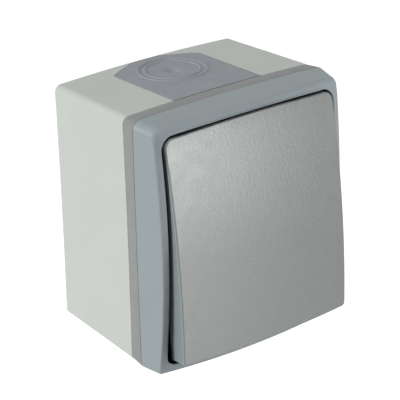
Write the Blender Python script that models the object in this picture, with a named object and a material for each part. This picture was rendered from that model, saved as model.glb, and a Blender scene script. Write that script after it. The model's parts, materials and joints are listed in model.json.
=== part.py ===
"""A surface mounted light switch with one rocker, as its separate pieces.

The origin is the centre of the wall face, +Z is up and the front looks along -Y.
A depth is a distance from the wall, so a point at depth d lies at y = -d.
"""

import math
from dataclasses import dataclass, replace

import bmesh
import bpy
from mathutils import Matrix, Vector

# Housing
BODY_HEIGHT = 0.0777
END_BOW = 0.0008
SIDE_BOW = 0.00015
TOP_CORNER = 0.0030
BOTTOM_CORNER = 0.0017
BOX_DEPTH = 0.0363
BOX_WALL = 0.0021
BACK_WALL = 0.0025
BOX_WAIST = 0.00025
BOX_TAPER_WIDTH = 0.0013
BOX_TAPER_HEIGHT = 0.0010
BOX_STEP = 0.00055
TONGUE_STEP = 0.0014
TONGUE_HEIGHT = 0.0028
GASKET_THICKNESS = 0.0053
BACK_EDGE = 0.0004

# Front frame
FRAME_SIDE_DEPTH = 0.00715
FRAME_SIDE_LEAN = 0.00115
FRAME_END_LEAN = 0.0004
FRAME_WAIST = 0.00045
CREASE_BOW = 0.0003
CREASE_BOTTOM_CORNER = 0.0008
CREASE_ROUND = 0.0009
BORDER_SIDE = 0.00195
BORDER_END = 0.00295
BORDER_RISE = 0.0008
CROWN_VERTICAL = 0.0025
CROWN_ACROSS = 0.0026
WELL_DRAFT = 0.0002
WELL_EDGE = 0.0002
FLOOR_THICKNESS = 0.0017
OPENING_BOW = 0.0011
OPENING_TOP_CORNER = 0.0040
OPENING_BOTTOM_CORNER = 0.0026

# Rocker and the carrier behind it
ROCKER_TILT_DEG = 5.5
PIVOT_HEIGHT = 0.0074
ROCKER_STANDOFF = 0.0058
ROCKER_SIDE_GAP = 0.00115
ROCKER_END_GAP = 0.00135
ROCKER_EDGE = 0.0005
ROCKER_WALL = 0.0016
ROCKER_SKIN = 0.0020
ROCKER_CROWN_VERTICAL = 0.0018
ROCKER_CROWN_ACROSS = 0.0002
ROCKER_TOP_CORNER = 0.0032
ROCKER_BOTTOM_CORNER = 0.0020
CARRIER_INSET = 0.0107
CARRIER_HEIGHT = 0.0240
CARRIER_PLATE = 0.0018
CARRIER_RAIL = 0.0015
ARM_THICKNESS = 0.0025
ARM_HEIGHT = 0.0060
PIN_RADIUS = 0.00135
LUG_THICKNESS = 0.0030
LUG_HEIGHT = 0.0070
SLEEVE_RADIUS = 0.0035
SLEEVE_END = 0.0165
PLUNGER_RADIUS = 0.0020
PLUNGER_TIP = 0.0016
PLUNGER_LENGTH = 0.0088
SPRING_WIRE = 0.00022
SPRING_LENGTH = 0.0088
SPRING_TURNS = 5

# Seal of the well's window
WINDOW_RADIUS = 0.0120
SEAL_THICKNESS = 0.0012
SEAL_LAP = 0.0020
SEAL_COLLAR_WALL = 0.0010
SEAL_COLLAR_HEIGHT = 0.0014

# Cable entries in the top and bottom walls
ENTRY_WIDTH = 0.0332
ENTRY_BACK = 0.0007
ENTRY_BACK_FLAT = 0.0100
ENTRY_CHAMFER = 0.0056
ENTRY_CENTRE = 0.0138
ENTRY_LIP = 0.0020
ENTRY_LIP_THICKNESS = 0.0012
RING_RADII = (0.00835, 0.01035)
RING_HALF_WIDTH = 0.00035
RING_HEIGHT = 0.00022
DIMPLE_RADIUS = 0.0028
DIMPLE_DEPTH = 0.0005
DIMPLE_FLAT = 0.0012

# Screws and their bosses
BOSS_RADIUS = 0.00375
BOSS_INSET_WIDTH = 0.0062
BOSS_INSET_HEIGHT = 0.00735
BOSS_HOLE_DEPTH = 0.0140
SCREW_RADIUS = 0.0015
SCREW_HEAD_RADIUS = 0.0029
SCREW_HEAD_HEIGHT = 0.0019
SCREW_GRIP = 0.0120
SLOT_WIDTH = 0.0008
SLOT_DEPTH = 0.0009

# Wall fixing holes
FIXING_Z = 0.0100
FIXING_RADIUS = 0.0030
GROMMET_LAP = 0.0012
GROMMET_FLANGE = 0.0010
GROMMET_PIT = 0.0009

# Mounting plate and mechanism
PLATE_SETBACK = 0.0076
PLATE_THICKNESS = 0.0012
PLATE_INSET_WIDTH = 0.0012
PLATE_INSET_HEIGHT = 0.00235
PLATE_WEB = 0.0016
BASE_WIDTH = 0.0400
BASE_WALL = 0.0015
FLANGE_MARGIN = 0.0025
FLANGE_THICKNESS = 0.0015
COVER_INSET = 0.0007
COVER_LAP = 0.0030
COVER_RISE = 0.0035
COVER_SKIN = 0.0015
COVER_WALL = 0.0016
POCKET_MARGIN = 0.0019

# Contact lever and terminals
LEVER_TILT_DEG = 8.0
LEVER_RECESS = 0.0042
LEVER_WIDTH = 0.0066
LEVER_THICKNESS = 0.0008
LEVER_OVERHANG = 0.0006
TRUNNION_RADIUS = 0.0007
TRUNNION_ROOT = 0.0005
EAR_THICKNESS = 0.0008
EAR_HEIGHT = 0.0044
EAR_REACH = 0.0014
CONTACT_ARM = 0.0090
CONTACT_RADIUS = 0.0015
CONTACT_HEAD = 0.0007
RIVET_SHANK = 0.0008
STRIP_THICKNESS = 0.0010
STRIP_WIDTH = 0.0040
TERMINAL_POCKET = 0.0090
TERMINAL_WALL = 0.0010
TERMINAL_INSET = 0.0020
STRIP_LENGTH = 0.0020
CLAMP_WIDTH = 0.0076
CLAMP_LENGTH = 0.0060
CLAMP_WALL = 0.0012
WIRE_SPACE = 0.0046
CLAMP_SCREW_SPACE = 0.0040
CLAMP_SCREW_RADIUS = 0.0017
CLAMP_HEAD_RADIUS = 0.0026
CLAMP_HEAD_HEIGHT = 0.0018

# Clearances
GAP = 0.0003
GROMMET_CLEARANCE = 0.0003
ACCESS_CLEARANCE = 0.0002
TIP_CLEARANCE = 0.0001
SWING_CLEARANCE = 0.0004
PRESSED_CLEARANCE = 0.0009

# Smoothness of the shapes
CORNER_STEPS = 4
SIDE_STEPS = 8
FACE_RINGS = (0.86, 0.64, 0.40, 0.16)
ROUND_SEGMENTS = 16
RING_SEGMENTS = 28
WINDOW_SEGMENTS = 32
SPRING_POINTS_PER_TURN = 10

# Depths that follow from the sizes above
FRAME_REAR = BOX_DEPTH + GAP + GASKET_THICKNESS + GAP
TONGUE_FRONT = BOX_DEPTH + TONGUE_HEIGHT
FLOOR_BACK = TONGUE_FRONT + GAP
FLOOR_FRONT = FLOOR_BACK + FLOOR_THICKNESS
CREASE_DEPTH = FRAME_REAR + FRAME_SIDE_DEPTH
OPENING_DEPTH = CREASE_DEPTH + BORDER_RISE
ROCKER_PIVOT = FLOOR_FRONT + PIVOT_HEIGHT
ROCKER_RIM = ROCKER_PIVOT + ROCKER_STANDOFF
PLATE_BACK = BOX_DEPTH - PLATE_SETBACK
PLATE_FRONT = PLATE_BACK + PLATE_THICKNESS
BASE_FRONT = PLATE_FRONT + GAP + FLANGE_THICKNESS
COVER_BACK = BASE_FRONT + GAP
COVER_FRONT = COVER_BACK + COVER_RISE
LEVER_PIVOT = BASE_FRONT - LEVER_RECESS
LEVER_FRONT = LEVER_PIVOT + LEVER_THICKNESS / 2

# Widths and heights, from the mechanism in the middle outwards
GROMMET_FLANGE_RADIUS = FIXING_RADIUS + GROMMET_LAP
ACCESS_RADIUS = GROMMET_FLANGE_RADIUS + ACCESS_CLEARANCE
FIXING_X = BASE_WIDTH / 2 + GAP + PLATE_WEB + ACCESS_RADIUS
INNER_X = FIXING_X + GROMMET_FLANGE_RADIUS + GROMMET_CLEARANCE + BOX_WAIST
INNER_Z = BODY_HEIGHT / 2 - BOX_STEP - BOX_TAPER_HEIGHT - BOX_WALL
BODY_WIDTH = 2 * (INNER_X + BOX_WALL + BOX_TAPER_WIDTH + BOX_STEP)
BOSS_X = INNER_X - BOSS_INSET_WIDTH
BOSS_Z = INNER_Z - BOSS_INSET_HEIGHT
PLATE_WIDTH = 2 * (INNER_X - PLATE_INSET_WIDTH)
PLATE_HEIGHT = 2 * (INNER_Z - PLATE_INSET_HEIGHT)
TERMINAL_X = BASE_WIDTH / 2 - TERMINAL_WALL - TERMINAL_POCKET / 2
TERMINAL_Z = CONTACT_ARM + STRIP_WIDTH / 2 + STRIP_LENGTH + CLAMP_LENGTH / 2
BASE_HEIGHT = 2 * (TERMINAL_Z + CLAMP_LENGTH / 2 + TERMINAL_INSET)
LEVER_HALF_LENGTH = CONTACT_ARM + CONTACT_RADIUS + LEVER_OVERHANG
CRADLE_INNER = LEVER_WIDTH / 2 + 2 * GAP
POCKET_WIDTH = 2 * (CRADLE_INNER + EAR_THICKNESS + POCKET_MARGIN)
POCKET_HEIGHT = 2 * (LEVER_HALF_LENGTH + POCKET_MARGIN)
COVER_WIDTH = 2 * (TERMINAL_X - TERMINAL_POCKET / 2 - COVER_INSET)
COVER_HEIGHT = POCKET_HEIGHT + 2 * COVER_LAP

ROCKER_TILT = math.radians(ROCKER_TILT_DEG)
LEVER_TILT = math.radians(LEVER_TILT_DEG)
LEVER_SIN = math.sin(LEVER_TILT)
LEVER_COS = math.cos(LEVER_TILT)

# The closed pair of contacts sets how deep the strips of the terminals lie
CLOSED_CONTACT = (
    LEVER_PIVOT
    - CONTACT_ARM * LEVER_SIN
    - (LEVER_THICKNESS / 2 + GAP + CONTACT_HEAD) * LEVER_COS
    - CONTACT_RADIUS * LEVER_SIN
)
STRIP_FRONT = CLOSED_CONTACT - GAP - CONTACT_HEAD - GAP
STRIP_BACK = STRIP_FRONT - STRIP_THICKNESS
CLAMP_BACK = STRIP_BACK - WIRE_SPACE - CLAMP_WALL
CLAMP_FRONT = STRIP_FRONT + CLAMP_SCREW_SPACE + CLAMP_WALL
BASE_BACK = CLAMP_BACK - GAP - BASE_WALL


def linear(*srgb):
    """A colour of 0 to 255 as the linear values that a shader takes."""
    scaled = [value / 255 for value in srgb]
    return [c / 12.92 if c <= 0.04045 else ((c + 0.055) / 1.055) ** 2.4 for c in scaled] + [1.0]


BOX_GREY = (linear(199, 204, 198), 0.55, 0.0)
MEMBRANE_GREY = (linear(147, 150, 157), 0.60, 0.0)
GASKET_GREY = (linear(152, 152, 151), 0.65, 0.0)
FRAME_GREY = (linear(148, 158, 161), 0.50, 0.0)
SILVER = (linear(168, 170, 168), 0.42, 0.55)
CARRIER_GREY = (linear(120, 128, 132), 0.55, 0.0)
BLACK_RUBBER = (linear(28, 28, 30), 0.70, 0.0)
MECHANISM_WHITE = (linear(225, 224, 218), 0.50, 0.0)
MECHANISM_GREY = (linear(90, 93, 96), 0.50, 0.0)
STEEL = (linear(190, 192, 195), 0.35, 1.0)
BRASS = (linear(205, 170, 105), 0.35, 1.0)
COPPER = (linear(205, 135, 100), 0.35, 1.0)
CONTACT_SILVER = (linear(220, 220, 222), 0.30, 1.0)


def material(name, look):
    colour, roughness, metallic = look
    made = bpy.data.materials.new(name)
    made.use_nodes = True
    shader = made.node_tree.nodes["Principled BSDF"]
    shader.inputs["Base Color"].default_value = colour
    shader.inputs["Roughness"].default_value = roughness
    shader.inputs["Metallic"].default_value = metallic
    made.diffuse_color = colour
    return made


@dataclass(frozen=True)
class Outline:
    """A rounded rectangle in X and Z, whose ends and sides bow outwards by the given amounts."""

    half_width: float
    half_height: float
    top_radius: float
    bottom_radius: float
    bow: float = END_BOW
    side_bow: float = 0

    def inset(self, by, by_height=None):
        """The outline drawn in by a wall, never to a corner sharper than the edge."""
        return replace(
            self,
            half_width=self.half_width - by,
            half_height=self.half_height - (by if by_height is None else by_height),
            top_radius=max(self.top_radius - by, BACK_EDGE),
            bottom_radius=max(self.bottom_radius - by, BACK_EDGE),
        )

    def scaled(self, factor):
        return Outline(*(factor * value for value in vars(self).values()))

    def points(self):
        """The outline's points, anticlockwise as seen from the front."""
        sides = ((1, 1), (-1, 1), (-1, -1), (1, -1))
        arcs = []
        for quarter, (side_x, side_z) in enumerate(sides):
            radius = self.top_radius if side_z > 0 else self.bottom_radius
            centre = Vector((side_x * (self.half_width - radius), side_z * (self.half_height - radius)))
            for step in range(CORNER_STEPS + 1):
                angle = math.radians(90) * (quarter + step / CORNER_STEPS)
                arcs.append(centre + radius * Vector((math.cos(angle), math.sin(angle))))
        points = []
        for index, start in enumerate(arcs):
            points.append(start)
            if index % (CORNER_STEPS + 1) == CORNER_STEPS:
                end = arcs[(index + 1) % len(arcs)]
                points += [start.lerp(end, step / SIDE_STEPS) for step in range(1, SIDE_STEPS)]
        bowed = []
        for x, z in points:
            out = self.side_bow * (1 - (z / self.half_height) ** 2)
            up = self.bow_at(x)
            bowed.append((x + out * x / self.half_width, z + up * z / self.half_height))
        return bowed

    def bow_at(self, x):
        return self.bow * (1 - (x / self.half_width) ** 2)


BODY = Outline(BODY_WIDTH / 2, BODY_HEIGHT / 2, TOP_CORNER, BOTTOM_CORNER, side_bow=SIDE_BOW)
RIM = replace(BODY.inset(BOX_STEP), side_bow=-BOX_WAIST)
BACK = replace(
    RIM,
    half_width=RIM.half_width - BOX_TAPER_WIDTH,
    half_height=RIM.half_height - BOX_TAPER_HEIGHT,
)
TONGUE = RIM.inset(TONGUE_STEP)
CREASE = replace(
    BODY,
    half_width=BODY.half_width - FRAME_SIDE_LEAN,
    half_height=BODY.half_height - FRAME_END_LEAN,
    bottom_radius=CREASE_BOTTOM_CORNER,
    bow=CREASE_BOW,
    side_bow=-FRAME_WAIST,
)
OPENING = Outline(
    CREASE.half_width - BORDER_SIDE,
    CREASE.half_height - BORDER_END,
    OPENING_TOP_CORNER,
    OPENING_BOTTOM_CORNER,
    OPENING_BOW,
)
SKIRT = replace(
    OPENING.inset(ROCKER_SIDE_GAP, ROCKER_END_GAP),
    top_radius=ROCKER_TOP_CORNER,
    bottom_radius=ROCKER_BOTTOM_CORNER,
)
FACE = SKIRT.inset(ROCKER_EDGE)
CARRIER_WIDTH = 2 * (SKIRT.half_width - CARRIER_INSET)
SKIRT_BOTTOM = FLOOR_FRONT + PRESSED_CLEARANCE + SKIRT.half_height * math.sin(ROCKER_TILT)


def frame_crown(depth):
    """The frame's front, which bulges both up and down and across."""

    def at(x, z):
        vertical = CROWN_VERTICAL * (1 - (z / CREASE.half_height) ** 2)
        return depth + vertical + CROWN_ACROSS * (1 - (x / CREASE.half_width) ** 2)

    return at


def rocker_crown(depth):
    def at(x, z):
        vertical = ROCKER_CROWN_VERTICAL * (1 - (z / FACE.half_height) ** 2)
        return depth + vertical + ROCKER_CROWN_ACROSS * (1 - (x / FACE.half_width) ** 2)

    return at


def flat(depth):
    return lambda x, z: depth


def loop(outline, depth):
    return [Vector((x, -depth(x, z), z)) for x, z in outline.points()]


def add_loft(bm, loops):
    """Joins loops of as many points each, and closes the first and the last."""
    rings = [[bm.verts.new(point) for point in points] for points in loops]
    count = len(rings[0])
    for ring, following in zip(rings, rings[1:]):
        for i in range(count):
            j = (i + 1) % count
            bm.faces.new((ring[i], ring[j], following[j], following[i]))
    bm.faces.new(rings[0])
    bm.faces.new(rings[-1])


def add_turned(bm, profile, segments=ROUND_SEGMENTS, place=Matrix()):
    """Turns a profile of (radius, height) about the local Z axis of place."""
    rings = []
    for radius, height in profile:
        if radius == 0:
            rings.append([bm.verts.new(place @ Vector((0, 0, height)))])
            continue
        ring = []
        for i in range(segments):
            angle = 2 * math.pi * i / segments
            point = Vector((radius * math.cos(angle), radius * math.sin(angle), height))
            ring.append(bm.verts.new(place @ point))
        rings.append(ring)
    pairs = list(zip(rings, rings[1:]))
    if len(rings[0]) > 1:
        pairs.append((rings[-1], rings[0]))
    for ring, following in pairs:
        for i in range(segments):
            j = (i + 1) % segments
            corners = [ring[i % len(ring)], ring[j % len(ring)]]
            corners += [following[j % len(following)], following[i % len(following)]]
            bm.faces.new(list(dict.fromkeys(corners)))


def facing_front(x, z):
    """A place at (x, z) on the wall face whose local Z runs out to the front."""
    return Matrix.Translation((x, 0, z)) @ Matrix.Rotation(math.radians(90), 4, "X")


def along_x(depth, z):
    return Matrix.Translation((0, -depth, z)) @ Matrix.Rotation(math.radians(90), 4, "Y")


def add_rod(bm, place, radius, start, end, segments=ROUND_SEGMENTS):
    add_turned(bm, [(0, start), (radius, start), (radius, end), (0, end)], segments, place)


def add_block(bm, x, depth, z):
    """A block between the two values of x, of depth and of z."""
    low = Vector((x[0], -depth[1], z[0]))
    high = Vector((x[1], -depth[0], z[1]))
    place = Matrix.Translation((low + high) / 2) @ Matrix.Diagonal((*(high - low), 1))
    bmesh.ops.create_cube(bm, size=1, matrix=place)


def add_sheet(bm, points, back, front):
    """A flat sheet whose outline is given in (x, z)."""
    rings = [[Vector((x, -depth, z)) for x, z in points] for depth in (back, front)]
    add_loft(bm, rings)


def mesh_object(name, bm, look=None, parent=None):
    """Makes an object of bm. Under a parent, its mesh is moved to the parent's own frame."""
    bmesh.ops.recalc_face_normals(bm, faces=bm.faces)
    mesh = bpy.data.meshes.new(name)
    if parent is not None:
        bm.transform(Matrix.Translation(-parent.location))
    bm.to_mesh(mesh)
    bm.free()
    made = bpy.data.objects.new(name, mesh)
    bpy.context.scene.collection.objects.link(made)
    made.parent = parent
    if look is None:
        made.hide_render = True
        made.display_type = "WIRE"
        return made
    mesh.materials.append(material(name, look))
    mesh.shade_smooth()
    mesh.set_sharp_from_angle(angle=math.radians(30))
    return made


def combine(target, operation, bm):
    """Cuts, joins or intersects an object with the closed shapes of bm."""
    tool = mesh_object(f"{target.name}_{operation.lower()}", bm, parent=target.parent)
    step = target.modifiers.new(operation.title(), "BOOLEAN")
    step.operation = operation
    step.solver = "EXACT"
    step.object = tool


def axis_empty(name, depth, angle):
    made = bpy.data.objects.new(name, None)
    made.empty_display_size = BODY_WIDTH / 4
    made.location = (0, -depth, 0)
    made.rotation_euler.x = angle
    bpy.context.scene.collection.objects.link(made)
    return made


def span(centre, width):
    return (centre - width / 2, centre + width / 2)


def make_housing_loops():
    """The outside of the back box, from the wall face to the tip of its tongue."""
    return [
        loop(BACK.inset(BACK_EDGE), flat(0)),
        loop(BACK, flat(BACK_EDGE)),
        loop(RIM, flat(BOX_DEPTH)),
        loop(TONGUE, flat(BOX_DEPTH)),
        loop(TONGUE, flat(TONGUE_FRONT)),
    ]


def entry_outline(clearance):
    """The cable entry's outline in (x, depth), open to the front of the box."""
    half = ENTRY_WIDTH / 2 - clearance
    flat_half = ENTRY_BACK_FLAT / 2 - clearance / 2
    back = ENTRY_BACK + clearance
    shoulder = ENTRY_BACK + ENTRY_CHAMFER + clearance / 2
    front = TONGUE_FRONT + BOX_WALL
    right = [(flat_half, back), (half, shoulder), (half, front)]
    return right + [(-x, depth) for x, depth in reversed(right)]


ENTRY_INNER = BACK.half_height - BOX_WALL + BACK.bow_at(ENTRY_WIDTH / 2 + ENTRY_LIP) - GAP
ENTRY_REACH = BODY.half_height + 2 * END_BOW


def add_entry_prism(bm, side, clearance, inner):
    rings = []
    for z in (inner, ENTRY_REACH):
        rings.append([Vector((x, -depth, side * z)) for x, depth in entry_outline(clearance)])
    add_loft(bm, rings)


def bosses():
    """(x, z, front depth, what it holds) of the four screw bosses."""
    return (
        (-BOSS_X, BOSS_Z, TONGUE_FRONT, "frame"),
        (BOSS_X, -BOSS_Z, TONGUE_FRONT, "frame"),
        (BOSS_X, BOSS_Z, PLATE_BACK - GAP, "plate"),
        (-BOSS_X, -BOSS_Z, PLATE_BACK - GAP, "plate"),
    )


def fixing_places():
    return ((-FIXING_X, -FIXING_Z), (FIXING_X, FIXING_Z))


def make_back_box():
    bm = bmesh.new()
    inner_rim = RIM.inset(BOX_WALL)
    inner_back = BACK.inset(BOX_WALL)
    add_loft(bm, make_housing_loops() + [
        loop(inner_rim, flat(TONGUE_FRONT)),
        loop(inner_back, flat(BACK_WALL)),
    ])
    box = mesh_object("back_box", bm, BOX_GREY)
    posts = bmesh.new()
    for x, z, front, _ in bosses():
        add_rod(posts, facing_front(x, z), BOSS_RADIUS, BACK_WALL / 2, front)
    combine(box, "UNION", posts)
    cuts = bmesh.new()
    for side in (1, -1):
        add_entry_prism(cuts, side, 0, ENTRY_INNER)
    for x, z, front, _ in bosses():
        hole = (front - BOSS_HOLE_DEPTH, front + BACK_WALL)
        add_rod(cuts, facing_front(x, z), SCREW_RADIUS + GAP, *hole)
    for x, z in fixing_places():
        add_rod(cuts, facing_front(x, z), FIXING_RADIUS, -BACK_WALL, 2 * BACK_WALL)
    combine(box, "DIFFERENCE", cuts)


def make_entry_membrane(name, side):
    """A soft pierceable plate that slides into the wall from the front."""
    bm = bmesh.new()
    add_entry_prism(bm, side, GAP, ENTRY_INNER + GAP)
    membrane = mesh_object(name, bm, MEMBRANE_GREY)
    envelope = bmesh.new()
    add_loft(envelope, make_housing_loops())
    combine(membrane, "INTERSECT", envelope)
    lip = bmesh.new()
    lip_z = sorted((side * (ENTRY_INNER - ENTRY_LIP_THICKNESS), side * ENTRY_INNER))
    lip_depth = (BACK_WALL + GAP, BOX_DEPTH)
    add_block(lip, span(0, ENTRY_WIDTH + 2 * ENTRY_LIP), lip_depth, lip_z)
    neck = bmesh.new()
    neck_z = sorted((side * (ENTRY_INNER - ENTRY_LIP_THICKNESS / 2), side * (ENTRY_INNER + 3 * GAP)))
    neck_depth = (ENTRY_BACK + ENTRY_CHAMFER + 2 * GAP, BOX_DEPTH)
    add_block(neck, span(0, ENTRY_WIDTH - 4 * GAP), neck_depth, neck_z)
    combine(membrane, "UNION", lip)
    combine(membrane, "UNION", neck)
    surface = BACK.half_height + BOX_TAPER_HEIGHT * ENTRY_CENTRE / BOX_DEPTH + END_BOW
    up = Matrix.Translation((0, -ENTRY_CENTRE, side * surface))
    if side < 0:
        up = up @ Matrix.Rotation(math.pi, 4, "X")
    for radius in RING_RADII:
        ring = bmesh.new()
        foot = -2 * RING_HEIGHT
        low, high = radius - RING_HALF_WIDTH, radius + RING_HALF_WIDTH
        profile = [(low, foot), (radius, RING_HEIGHT), (high, foot)]
        add_turned(ring, profile, RING_SEGMENTS, up)
        combine(membrane, "UNION", ring)
    dimple = bmesh.new()
    add_turned(
        dimple,
        [
            (0, -DIMPLE_DEPTH),
            (DIMPLE_FLAT, -DIMPLE_DEPTH),
            (2 * DIMPLE_RADIUS - DIMPLE_FLAT, DIMPLE_DEPTH),
            (0, DIMPLE_DEPTH),
        ],
        RING_SEGMENTS,
        up,
    )
    combine(membrane, "DIFFERENCE", dimple)


def make_fixing_grommet(name, x, z):
    """A rubber plug, pierced by the wall screw, that seals a fixing hole."""
    bm = bmesh.new()
    neck = FIXING_RADIUS - GAP
    seat = BACK_WALL + GAP
    front = seat + GROMMET_FLANGE
    add_turned(
        bm,
        [
            (0, GAP),
            (neck, GAP),
            (neck, seat),
            (GROMMET_FLANGE_RADIUS, seat),
            (GROMMET_FLANGE_RADIUS, front),
            (neck, front),
            (0, front - GROMMET_PIT),
        ],
        place=facing_front(x, z),
    )
    mesh_object(name, bm, BLACK_RUBBER)


def make_box_gasket():
    bm = bmesh.new()
    inner = TONGUE.inset(-GAP)
    back = BOX_DEPTH + GAP
    front = back + GASKET_THICKNESS
    rings = [
        loop(inner, flat(back)),
        loop(BODY, flat(back)),
        loop(BODY, flat(front)),
        loop(inner, flat(front)),
    ]
    rings = [[bm.verts.new(point) for point in points] for points in rings]
    count = len(rings[0])
    for ring, following in zip(rings, rings[1:] + rings[:1]):
        for i in range(count):
            j = (i + 1) % count
            bm.faces.new((ring[i], ring[j], following[j], following[i]))
    mesh_object("box_gasket", bm, GASKET_GREY)


def lug_span(side):
    """Where a bearing lug lies across the frame, just outside the carrier's arm."""
    inner = CARRIER_WIDTH / 2 + GAP
    return sorted((side * inner, side * (inner + LUG_THICKNESS)))


def make_front_frame():
    """The moulded bezel with the well that the rocker sits in."""
    bm = bmesh.new()
    spigot = TONGUE
    crown = frame_crown(CREASE_DEPTH)
    edge = frame_crown(OPENING_DEPTH)
    wall_top = frame_crown(OPENING_DEPTH - WELL_EDGE)
    add_loft(bm, [
        loop(spigot, flat(FLOOR_BACK)),
        loop(spigot, flat(FRAME_REAR)),
        loop(BODY, flat(FRAME_REAR)),
        loop(CREASE, crown),
        loop(CREASE.inset(CREASE_ROUND / 3), frame_crown(CREASE_DEPTH + BORDER_RISE / 2)),
        loop(CREASE.inset(CREASE_ROUND), frame_crown(OPENING_DEPTH - BORDER_RISE / 6)),
        loop(OPENING.inset(-WELL_EDGE), edge),
        loop(OPENING, wall_top),
        loop(OPENING.inset(WELL_DRAFT), flat(FLOOR_FRONT)),
    ])
    frame = mesh_object("front_frame", bm, FRAME_GREY)
    lugs = bmesh.new()
    for side in (1, -1):
        lug_depth = (FLOOR_FRONT - FLOOR_THICKNESS / 2, ROCKER_PIVOT + LUG_HEIGHT / 3)
        add_block(lugs, lug_span(side), lug_depth, span(0, LUG_HEIGHT))
    combine(frame, "UNION", lugs)
    cuts = bmesh.new()
    through = (FLOOR_BACK - FLOOR_THICKNESS, FLOOR_FRONT + FLOOR_THICKNESS)
    add_rod(cuts, facing_front(0, 0), WINDOW_RADIUS, *through, WINDOW_SEGMENTS)
    for x, z, _, holds in bosses():
        if holds == "frame":
            add_rod(cuts, facing_front(x, z), SCREW_RADIUS + GAP, *through)
    bore = CARRIER_WIDTH / 2 + 2 * LUG_THICKNESS
    add_rod(cuts, along_x(ROCKER_PIVOT, 0), PIN_RADIUS + GAP, -bore, bore)
    combine(frame, "DIFFERENCE", cuts)


def make_screw(name, x, z, seat, radius, head_radius, head_height, length, slot_angle):
    """A slotted screw whose head rests at the depth of its seat."""
    bm = bmesh.new()
    front = seat + head_height
    add_turned(
        bm,
        [
            (0, seat - length),
            (radius / 2, seat - length),
            (radius, seat - length + radius),
            (radius, seat),
            (head_radius, seat),
            (head_radius, front - head_height / 3),
            (head_radius - SLOT_WIDTH / 2, front),
            (0, front),
        ],
        place=facing_front(x, z),
    )
    screw = mesh_object(name, bm, STEEL)
    slot = bmesh.new()
    low = Vector((-2 * head_radius, -SLOT_WIDTH / 2, front - SLOT_DEPTH))
    high = Vector((2 * head_radius, SLOT_WIDTH / 2, front + SLOT_DEPTH))
    turn = Matrix.Rotation(math.radians(slot_angle), 4, "Z")
    box = Matrix.Translation((low + high) / 2) @ Matrix.Diagonal((*(high - low), 1))
    bmesh.ops.create_cube(slot, size=1, matrix=facing_front(x, z) @ turn @ box)
    combine(screw, "DIFFERENCE", slot)


def make_housing_screws():
    seats = {"frame": FLOOR_FRONT + GAP, "plate": PLATE_FRONT + GAP}
    for x, z, front, holds in bosses():
        side = "left" if x < 0 else "right"
        grip = seats[holds] - front + SCREW_GRIP
        size = (SCREW_RADIUS, SCREW_HEAD_RADIUS, SCREW_HEAD_HEIGHT, grip)
        make_screw(f"{holds}_screw_{side}", x, z, seats[holds], *size, slot_angle=35 + 50 * (x < 0))


def make_rocker_seal():
    """The rubber diaphragm that closes the well's window round the sleeve."""
    bm = bmesh.new()
    swing = (ROCKER_PIVOT - FLOOR_BACK) * math.sin(ROCKER_TILT)
    hole = SLEEVE_RADIUS + swing + SWING_CLEARANCE
    plug = WINDOW_RADIUS - GAP
    back = FLOOR_FRONT + GAP
    front = back + SEAL_THICKNESS
    collar = front + SEAL_COLLAR_HEIGHT
    add_turned(
        bm,
        [
            (hole, back),
            (hole, collar),
            (hole + SEAL_COLLAR_WALL, collar),
            (hole + SEAL_COLLAR_WALL, front),
            (WINDOW_RADIUS + SEAL_LAP, front),
            (WINDOW_RADIUS + SEAL_LAP, back),
            (plug, back),
            (plug, FLOOR_BACK + GAP),
            (plug - SEAL_THICKNESS, FLOOR_BACK + GAP),
            (plug - SEAL_THICKNESS, back),
        ],
        WINDOW_SEGMENTS,
        facing_front(0, 0),
    )
    mesh_object("rocker_seal", bm, BLACK_RUBBER)


def make_mounting_plate():
    """The sheet steel yoke that carries the mechanism on two bosses."""
    bm = bmesh.new()
    depth = (PLATE_BACK, PLATE_FRONT)
    add_block(bm, span(0, PLATE_WIDTH), depth, span(0, PLATE_HEIGHT))
    plate = mesh_object("mounting_plate", bm, STEEL)
    cuts = bmesh.new()
    through = (PLATE_BACK - PLATE_THICKNESS, PLATE_FRONT + PLATE_THICKNESS)
    window = (BASE_WIDTH + 2 * GAP, BASE_HEIGHT + 2 * GAP)
    add_block(cuts, span(0, window[0]), through, span(0, window[1]))
    reach = BOSS_RADIUS + 2 * GAP
    for x, z, _, holds in bosses():
        if holds == "plate":
            add_rod(cuts, facing_front(x, z), SCREW_RADIUS + GAP, *through)
            continue
        notch_x = sorted((math.copysign(BOSS_X - reach, x), math.copysign(PLATE_WIDTH, x)))
        notch_z = sorted((math.copysign(BOSS_Z - reach, z), math.copysign(PLATE_HEIGHT, z)))
        add_block(cuts, notch_x, through, notch_z)
    for x, z in fixing_places():
        add_rod(cuts, facing_front(x, z), ACCESS_RADIUS, *through)
    combine(plate, "DIFFERENCE", cuts)
    mouths = bmesh.new()
    for x, z in fixing_places():
        mouth = sorted((x, math.copysign(PLATE_WIDTH, x)))
        add_block(mouths, mouth, through, span(z, 2 * ACCESS_RADIUS))
    combine(plate, "DIFFERENCE", mouths)


def terminals():
    """(name, x, side in z) of each terminal. The common one feeds the lever's cradle."""
    return (
        ("common_terminal", -TERMINAL_X, -1),
        ("switched_terminal_1", TERMINAL_X, 1),
        ("switched_terminal_2", TERMINAL_X, -1),
    )


def strip_tip():
    """How far along Z a terminal's strip reaches, just past its clamp."""
    return TERMINAL_Z + CLAMP_LENGTH / 2


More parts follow.
